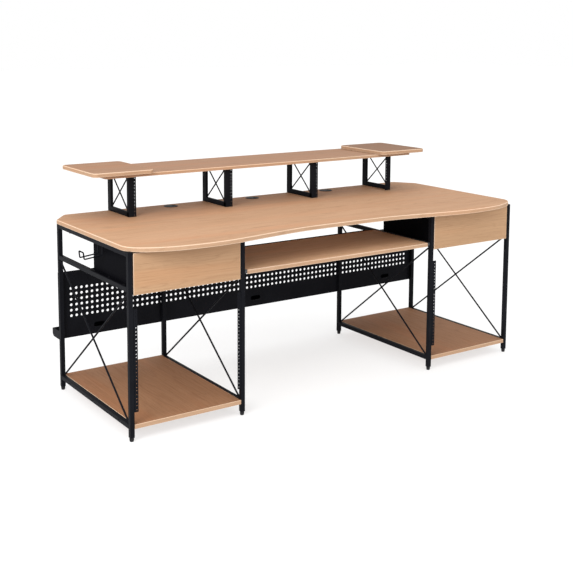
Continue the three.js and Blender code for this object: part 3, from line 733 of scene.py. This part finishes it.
def panel():
    lo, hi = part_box("modesty_panel")
    sheet_t, bend, chamfer = 1.5 * MM, 3 * MM, 14 * MM
    top, bottom = hi.z, lo.z
    wall_foot = bottom + bend
    wall_top = bottom + 36 * MM
    section = [(lo.y, top), (lo.y, wall_foot)]
    section += [(p.x, p.y) for p in arc((lo.y + bend, wall_foot), bend, 180, 270, 4)[1:]]
    section += [(hi.y - chamfer, bottom), (hi.y - chamfer * 0.45, bottom + chamfer * 0.28)]
    section += [(hi.y - chamfer * 0.1, bottom + chamfer * 0.72), (hi.y, bottom + chamfer), (hi.y, wall_top)]
    lengths = [0.0]
    for a, b in zip(section, section[1:]):
        lengths.append(lengths[-1] + math.dist(a, b))
    stations = [top - length for length in lengths]

    def fold(u, v):
        for (a, b), (va, vb) in zip(zip(section, section[1:]), zip(stations, stations[1:])):
            if v >= vb - 1e-9:
                t = (va - v) / (va - vb)
                return Vector((u, a[0] + (b[0] - a[0]) * t, a[1] + (b[1] - a[1]) * t))
        return Vector((u, *section[-1]))

    sheet = Sheet(fold)
    left, right = lo.x, hi.x
    field_x = CENTRE.x - COLUMNS * PITCH / 2
    field_z = LOWEST_ROW_Z - PITCH / 2
    xs = [field_x + k * PITCH for k in range(COLUMNS + 1)]
    zs = [field_z + k * PITCH for k in range(ROWS + 1)]
    for column in range(COLUMNS):
        for row in range(ROWS):
            middle = (xs[column] + PITCH / 2, zs[row] + PITCH / 2)
            sheet.pierced(xs[column], xs[column + 1], zs[row], zs[row + 1], middle, HOLE)
    slots = [CENTRE.x + x * MM for x in (-840, 0, 840)]
    edges = sorted([left, right, *[s + d * 34 * MM for s in slots for d in (-1, 1)]])
    sheet.cell([(left, top), (left, zs[-1]), *[(x, zs[-1]) for x in xs], (right, zs[-1]), (right, top)])
    for x0, x1, inner in ((left, xs[0], 1), (xs[-1], right, 0)):
        near = [(x1 if inner else x0, z) for z in zs]
        far = x0 if inner else x1
        ring = [(far, zs[0]), *near, (far, zs[-1])]
        sheet.cell(ring if inner else ring[::-1])
    low, high = SLOT_Z - SLOT_CELL, SLOT_Z + SLOT_CELL
    above_slots = [(x, high) for x in edges]
    below_field = [(x, zs[0]) for x in reversed(xs)]
    sheet.cell([(left, zs[0]), *above_slots, (right, zs[0]), *below_field])
    for x0, x1 in zip(edges, edges[1:]):
        slot = next((s for s in slots if x0 < s < x1 and x1 - x0 < 70 * MM), None)
        if slot is None:
            sheet.grid([x0, x1], [low, high])
        else:
            sheet.pierced(x0, x1, low, high, (slot, SLOT_Z), SLOT_RADIUS, SLOT_HALF_LENGTH)
    sheet.cell([(left, stations[1]), (right, stations[1]), *[(x, low) for x in reversed(edges)]])
    for v1, v0 in zip(stations[1:], stations[2:]):
        sheet.grid([left, right], [v0, v1])
    bm = sheet.thicken(sheet_t)
    ear_rear, ear_top, r = hi.y - 0.2 * MM, bottom + 38 * MM, 20 * MM
    ear = [Vector((lo.y + 0.6 * MM, bottom + 0.3 * MM)), Vector((ear_rear - chamfer, bottom + 0.3 * MM))]
    ear += [Vector((ear_rear, bottom + chamfer)), *arc((ear_rear - r, ear_top - r), r, 0, 90, 10)]
    ear.append(Vector((lo.y + 0.6 * MM, ear_top)))
    for x in (left, right - sheet_t):
        slab(bm, ear, x, x + sheet_t, 0.3 * MM, lambda u, v, w: Vector((w, u, v)), 1, (), 0, 0, 0)
    return bm


finish_piece("back_panel_sheet", panel(), (STEEL,), "desk", ("modesty_panel",))
panel_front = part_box("modesty_panel")[0].y + 1.5 * MM
for name in FRAMES:
    lo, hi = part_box(f"side_frame_{name}")
    for z in (300, 500):
        button_screw(screws, Vector(((lo.x + hi.x) / 2, panel_front, z * MM)), Y)

# ---- headphone hook -----------------------------------------------------------------------------
hook_lo, hook_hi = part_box("headphone_hook")
wire = 3 * MM
arm_z, bend_z, tip_z = 695 * MM, 686 * MM, 714 * MM
root_x, tip_x = hook_hi.x - wire, hook_lo.x + wire
arm_y = (hook_hi.y - wire, hook_lo.y + wire)
arms = []
for y in arm_y:
    arms.append([
        Vector((root_x, y, hook_hi.z)), Vector((root_x, y, arm_z)),
        Vector((tip_x + 3 * MM, y, bend_z)), Vector((tip_x, y, tip_z)),
    ])
bm = bmesh.new()
sweep(bm, bent_path(arms[0] + arms[1][::-1], 6 * MM, 8), wire, 16)
collar = [(4.2 * MM, 0), (3.6 * MM, 0.9 * MM), (2.6 * MM, 1.8 * MM)]
for y in arm_y:
    turned(bm, collar, Vector((root_x, y, hook_hi.z)), -Z, 16)
finish_piece("headphone_hook_wire", bm, (STEEL,), "desk", ("headphone_hook",), sharp=50)

# ---- hutch supports -----------------------------------------------------------------------------
# Each support is an angle with rack holes in front, a foot bar and a flat upright behind, and a tab and
# a gusset under the shelf. The fourth is the mirror image of the other three.
for i in range(1, 5):
    node = f"hutch_support_{i}"
    lo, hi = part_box(node)
    flip = i == 4
    height, angle_t, bar_w, bar_h = hi.z - lo.z, 2.5 * MM, 12.5 * MM, 22.5 * MM
    flange, depth, upright = 36 * MM, 20 * MM, 34 * MM
    length = hi.y - lo.y
    bm = angle_section(flange, depth, 3 * MM, angle_t, 0, height, 29 * MM, 1.9 * MM, 7.6 * MM)
    mid = bar_w / 2
    upright_y = length - upright / 2
    square_tube(bm, Vector((mid, upright_y, 0)), Vector((mid, upright_y, height)), bar_w, upright, X)
    bar_start = Vector((mid, 2 * MM, bar_h / 2))
    bar_end = Vector((mid, length - upright + 0.5 * MM, bar_h / 2))
    square_tube(bm, bar_start, bar_end, bar_w, bar_h, X)
    bead = Vector((mid, length - upright, bar_h / 2))
    weld_bead(bm, bead, bar_w - 1 * MM, bar_h - 1 * MM, X, Z, rng, BEAD_RADIUS)
    tab = rounded_rectangle(0.3 * MM, 35.6 * MM, 1 * MM, depth + 50 * MM, 5 * MM, 4)
    hole = [Vector((18 * MM, (depth + 32 * MM))) + p for p in arc((0, 0), 2.6 * MM, 0, 345, 23)]
    slab(bm, tab, height - angle_t, height, 0.3 * MM, level, 1, (hole,), 0, 0, 0)
    rib = [Vector((depth - 0.5 * MM, height - 2 * MM)), Vector((depth - 0.5 * MM, height - 18 * MM))]
    rib.append(Vector((depth + 16 * MM, height - 2 * MM)))
    slab(bm, rib, 0.1 * MM, 2.4 * MM, 0.2 * MM, lambda u, v, w: Vector((w, u, v)), 1, (), 0, 0, 0)
    place_mirrored(bm, Vector((hi.x if flip else lo.x, lo.y, lo.z)), flip)
    finish_piece(f"{node}_weldment", bm, (STEEL,), "desk", (node,))
    side = -1 if flip else 1
    outer = hi.x if flip else lo.x
    for y in (lo.y + 60 * MM, hi.y - 60 * MM):
        hex_bolt(screws, Vector((outer + side * 6.2 * MM, y, desk_lo.z)), -Z, 4.2 * MM)
    button_screw(screws, Vector((outer + side * 18 * MM, lo.y + 58 * MM, hi.z - angle_t)), -Z, 3.6 * MM)

    node = f"hutch_brace_{i}"
    bm = bmesh.new()
    for rising in (True, False):
        diagonal_rod(bm, node, rising, HUTCH_WIRE_RADIUS)
    finish_piece(f"{node}_wires", bm, (STEEL,), "desk", (node,))

# ---- cable grommets -----------------------------------------------------------------------------
for name, (lo, hi) in zip(("left", "middle", "right"), grommets):
    node = f"cable_grommet_{name}"
    centre = Vector(((lo.x + hi.x) / 2, (lo.y + hi.y) / 2, 0))
    top, seat = hi.z, desk_hi.z + 0.3 * MM
    bm = bmesh.new()
    section = [
        (27.2, lo.z), (28.9, lo.z), (29.0, seat), (33.6, seat), (34.0, seat + 0.4 * MM),
        (33.6, seat + 1.1 * MM), (32.6, seat + 1.8 * MM), (31.0, top - 0.1 * MM), (29.6, top),
        (28.0, top - 0.1 * MM), (27.4, top - 0.7 * MM),
    ]
    rings = []
    for r, z in section:
        rings.append(new_ring(bm, [Vector((p.x, p.y, z)) for p in arc(centre.xy, r * MM, 0, 352.5, 47)]))
    for a, b in zip(rings, rings[1:] + rings[:1]):
        bridge(bm, a, b)
    disc = arc(centre.xy, 27.0 * MM, 0, 352.5, 47)
    x, y = centre.x, centre.y
    notch = rounded_rectangle(x + 8 * MM, x + 23 * MM, y - 9 * MM, y + 9 * MM, 3 * MM, 4)
    slab(bm, disc, top - 3 * MM, top - 0.5 * MM, 0.5 * MM, level, 2, (notch,), 0, 0, 0)
    grip = rounded_rectangle(x - 15 * MM, x - 5 * MM, y - 1.5 * MM, y + 1.5 * MM, 1.2 * MM, 3)
    slab(bm, grip, top - 1 * MM, top, 0.4 * MM, level, 2, (), 0, 0, 0)
    finish_piece(f"{node}_cap", bm, (PLASTIC,), "desk", (node,))

# ---- drawers ------------------------------------------------------------------------------------
SHEET_T = 1.5 * MM
RUNNER_REACH = 8 * MM
# A runner's section: distance out from the drawer's side and height from the slide's middle, in mm.
WEB = ((0.0, -13.4), (1.4, -13.4), (1.4, -11.0), (5.8, -11.0), (7.6, -12.6), (8.0, -12.2), (6.6, -9.6))
RUNNER = WEB + tuple((out, -rise) for out, rise in reversed(WEB))
SLIDE_Z, SLIDE_FRONT, SLIDE_REAR = 660 * MM, CENTRE.y - 335 * MM, CENTRE.y + 2 * MM
for side in ("left", "right"):
    node = f"drawer_box_{side}"
    lo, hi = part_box(node)
    x0, x1 = lo.x + RUNNER_REACH, hi.x - RUNNER_REACH
    bm = bmesh.new()
    floor = rounded_rectangle(x0, x1, lo.y, hi.y, 0.8 * MM, 2)
    slab(bm, floor, lo.z, lo.z + SHEET_T, 0.3 * MM, level, 1, (), 0, 0, 0)
    for a, b in ((x0, x0 + SHEET_T), (x1 - SHEET_T, x1)):
        wall = rounded_rectangle(a, b, lo.y, hi.y, 0.6 * MM, 2)
        slab(bm, wall, lo.z + 0.2 * MM, hi.z, 0.3 * MM, level, 1, (), 0, 0, 0)
    for a, b in ((lo.y, lo.y + SHEET_T), (hi.y - SHEET_T, hi.y)):
        wall = rounded_rectangle(x0 + 0.2 * MM, x1 - 0.2 * MM, a, b, 0.6 * MM, 2)
        slab(bm, wall, lo.z + 0.2 * MM, hi.z, 0.3 * MM, level, 1, (), 0, 0, 0)
    outer = rounded_rectangle(x0, x1, lo.y, hi.y, 1.0 * MM, 2)
    inner = rounded_rectangle(x0 + 9 * MM, x1 - 9 * MM, lo.y + 9 * MM, hi.y - 9 * MM, 2 * MM, 3)
    slab(bm, outer, hi.z - SHEET_T, hi.z, 0.3 * MM, level, 2, (inner,), 0, 0, 0)
    finish_piece(f"{node}_folded", bm, (INNER_STEEL_PAINTED_SHADE,), f"{side}_drawer", (node,))

    runner = bmesh.new()
    for x, out in ((x0, -1), (x1, 1)):
        rings = []
        for y in (SLIDE_FRONT, SLIDE_REAR):
            points = [Vector((x + out * a * MM, y, SLIDE_Z + b * MM)) for a, b in RUNNER]
            rings.append(new_ring(runner, points))
        bridge(runner, *rings)
        runner.faces.new(rings[0])
        runner.faces.new(rings[1])
    finish_piece(f"drawer_runners_{side}", runner, (SLIDE,), f"{side}_drawer", ())

    bolts = bmesh.new()
    for k in (-170, -60, 60, 170):
        button_screw(bolts, Vector(((x0 + x1) / 2 + k * MM, lo.y + SHEET_T, lo.z + 55 * MM)), Y, 3.8 * MM)
    finish_piece(f"drawer_screws_{side}", bolts, (BOLT,), f"{side}_drawer")

# ---- CAD pieces that stay, with softened edges --------------------------------------------------
def dress(node, material, width):
    """A CAD node keeps its shape and gets its material and softened edges."""
    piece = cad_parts[node]
    piece.data.materials.clear()
    piece.data.materials.append(material)
    bevel = piece.modifiers.new("softened edges", "BEVEL")
    bevel.width, bevel.segments, bevel.limit_method = width, 2, "ANGLE"
    bevel.angle_limit = math.radians(40)
    bevel.harden_normals = True


for side in ("left", "right"):
    for end in ("a", "b"):
        dress(f"drawer_hanger_{side}_{end}", INNER_STEEL_PAINTED_SHADE, 0.5 * MM)
        dress(f"drawer_slide_{side}_{end}", SLIDE, 0.35 * MM)
        lo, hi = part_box(f"drawer_hanger_{side}_{end}")
        frame_x = (lo.x + 8.5 * MM) if end == "a" else (hi.x - 8.5 * MM)
        for y in (-300, -160, -20):
            button_screw(screws, Vector((frame_x, CENTRE.y + y * MM, lo.z + 2 * MM)), Z, 3.6 * MM)
    dress(f"tray_slide_outer_{side}", SLIDE, 0.35 * MM)
    dress(f"tray_slide_inner_{side}", SLIDE, 0.3 * MM)

finish_piece("desk_fasteners", screws, (BOLT,), "desk")

# ---- floor, light and camera --------------------------------------------------------------------
# A plain floor, lit partly by its own glow: it reads as white and takes only a faint shadow.
floor_mesh = bpy.data.meshes.new("floor")
floor_mesh.from_pydata([(-40, -40, 0), (40, -40, 0), (40, 40, 0), (-40, 40, 0)], [], [(0, 1, 2, 3)])
floor = bpy.data.objects.new("floor", floor_mesh)
bpy.context.scene.collection.objects.link(floor)
paper, paper_tree, paper_shader = new_material("pale_floor")
mottle = noise(paper_tree, stretched(paper_tree, (1, 1, 1)), 3.0)
tint = blend_colours(paper_tree, mottle, (0.27, 0.27, 0.27), (0.29, 0.29, 0.29))
paper_tree.links.new(tint, paper_shader.inputs["Base Color"])
paper_shader.inputs["Roughness"].default_value = 0.8
paper_shader.inputs["Emission Color"].default_value = (1, 1, 1, 1)
paper_shader.inputs["Emission Strength"].default_value = 0.66
floor_mesh.materials.append(paper)

world = bpy.data.worlds.new("studio")
bpy.context.scene.world = world
world.use_nodes = True
sky = world.node_tree
direction = add_node(sky, "ShaderNodeTexCoord").outputs["Generated"]
height = add_node(sky, "ShaderNodeSeparateXYZ", Vector=direction).outputs["Z"]
seen = add_node(sky, "ShaderNodeLightPath").outputs["Is Camera Ray"]
glow = math_node(sky, "MAXIMUM", span(sky, height, 0.0, 0.9, 0.36, 1.72), seen)
sky.links.new(glow, sky.nodes["Background"].inputs["Strength"])
sky.nodes["Background"].inputs["Color"].default_value = (1.0, 1.0, 1.0, 1)


def softbox(name, position, target, size, power):
    light = bpy.data.lights.new(name, "AREA")
    light.shape, light.size, light.size_y, light.energy = "RECTANGLE", *size, power
    lamp = bpy.data.objects.new(name, light)
    lamp.location = position
    lamp.rotation_euler = (target - position).to_track_quat("-Z", "Y").to_euler()
    bpy.context.scene.collection.objects.link(lamp)


middle = at(0, 0, 600)
softbox("key", at(-3900, -2000, 2800), middle, (2.2, 1.8), 150)
softbox("fill", at(800, -4300, 1700), middle, (2.2, 2.0), 62)

# The camera stands to the left of the desk's front, a little above the hutch, with a lowered view.
turn, tilt, roll = math.radians(34.339), math.radians(6.963), math.radians(0.28)
ahead = Vector((math.sin(turn) * math.cos(tilt), math.cos(turn) * math.cos(tilt), -math.sin(tilt)))
right = Vector((math.cos(turn), -math.sin(turn), 0))
up = right.cross(ahead)
right, up = right * math.cos(roll) + up * math.sin(roll), up * math.cos(roll) - right * math.sin(roll)
camera_data = bpy.data.cameras.new("camera")
camera_data.sensor_width = 36
camera_data.lens = 63.09
camera_data.shift_y = -0.2208
camera_data.clip_end = 200
camera = bpy.data.objects.new("camera", camera_data)
camera.matrix_world = Matrix.Translation(at(-2648.8, -3786.2, 1566.5)) @ Matrix((
    (right.x, up.x, -ahead.x, 0), (right.y, up.y, -ahead.y, 0), (right.z, up.z, -ahead.z, 0), (0, 0, 0, 1),
))
bpy.context.scene.collection.objects.link(camera)
bpy.context.scene.camera = camera
bpy.context.scene.view_settings.view_transform = "Standard"
